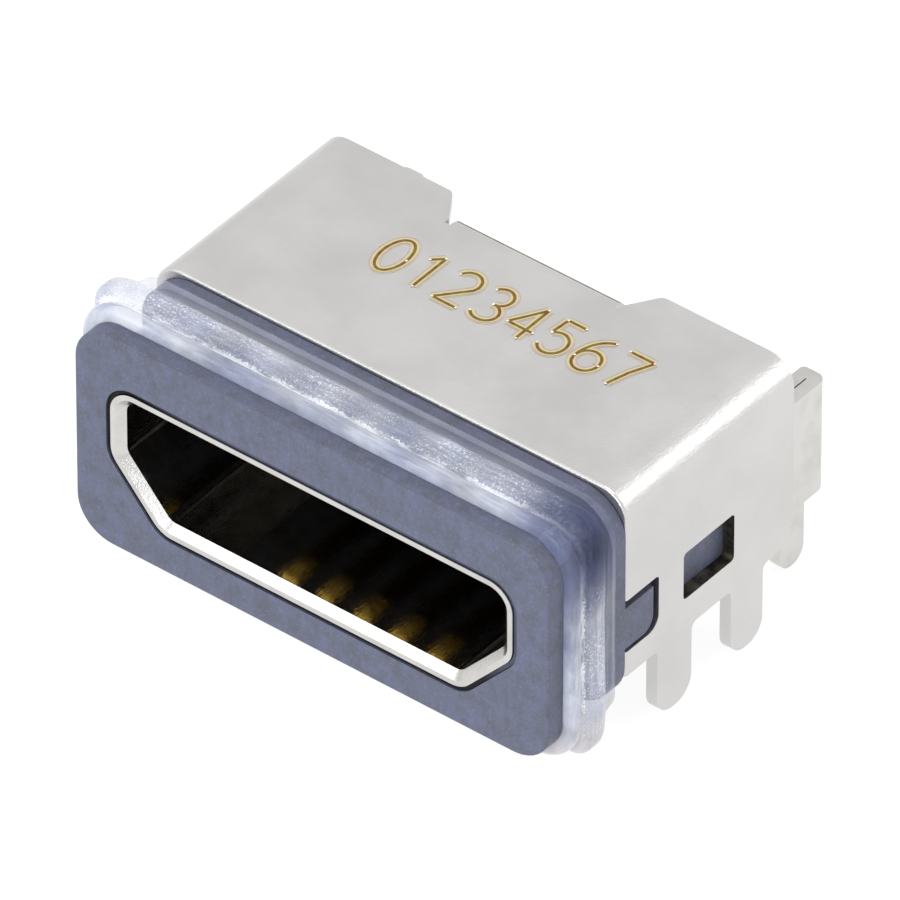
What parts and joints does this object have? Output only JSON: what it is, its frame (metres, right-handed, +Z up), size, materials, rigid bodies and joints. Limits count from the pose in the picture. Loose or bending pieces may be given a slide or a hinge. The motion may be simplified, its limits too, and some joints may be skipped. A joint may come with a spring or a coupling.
{
  "type": "micro usb socket",
  "caption": "Sealed micro USB type B board socket with a moulded flange, a silicone ring, a folded metal cover with solder legs and a tapered plug mouth.",
  "frame": {"origin": "centre of the plug opening, in the plane of the flange's front face", "axes": "+X across the socket, +Y into it, away from the plug, +Z up from the board, towards the opening's wide side"},
  "size_m": [0.009, 0.0069, 0.0048],
  "materials": {
    "housing_plastic": "moulded, fine speckle",
    "silicone": "translucent silicone",
    "shell_steel": "bright plated steel",
    "sealant": "black bead",
    "cover_plate": "satin nickel plate",
    "carrier_plastic": "moulded",
    "potting_resin": "cast resin",
    "gold_plate": "gold plated"
  },
  "bodies": {
    "root": {"housing": "housing_plastic", "seal_ring": "silicone", "inner_shell": "shell_steel", "shell_sealant": "sealant", "cover_shell": "cover_plate", "contact_carrier": "carrier_plastic", "rear_potting": "potting_resin", "contact_1": "gold_plate", "contact_2": "gold_plate", "contact_3": "gold_plate", "contact_4": "gold_plate", "contact_5": "gold_plate"}
  },
  "joints": []
}
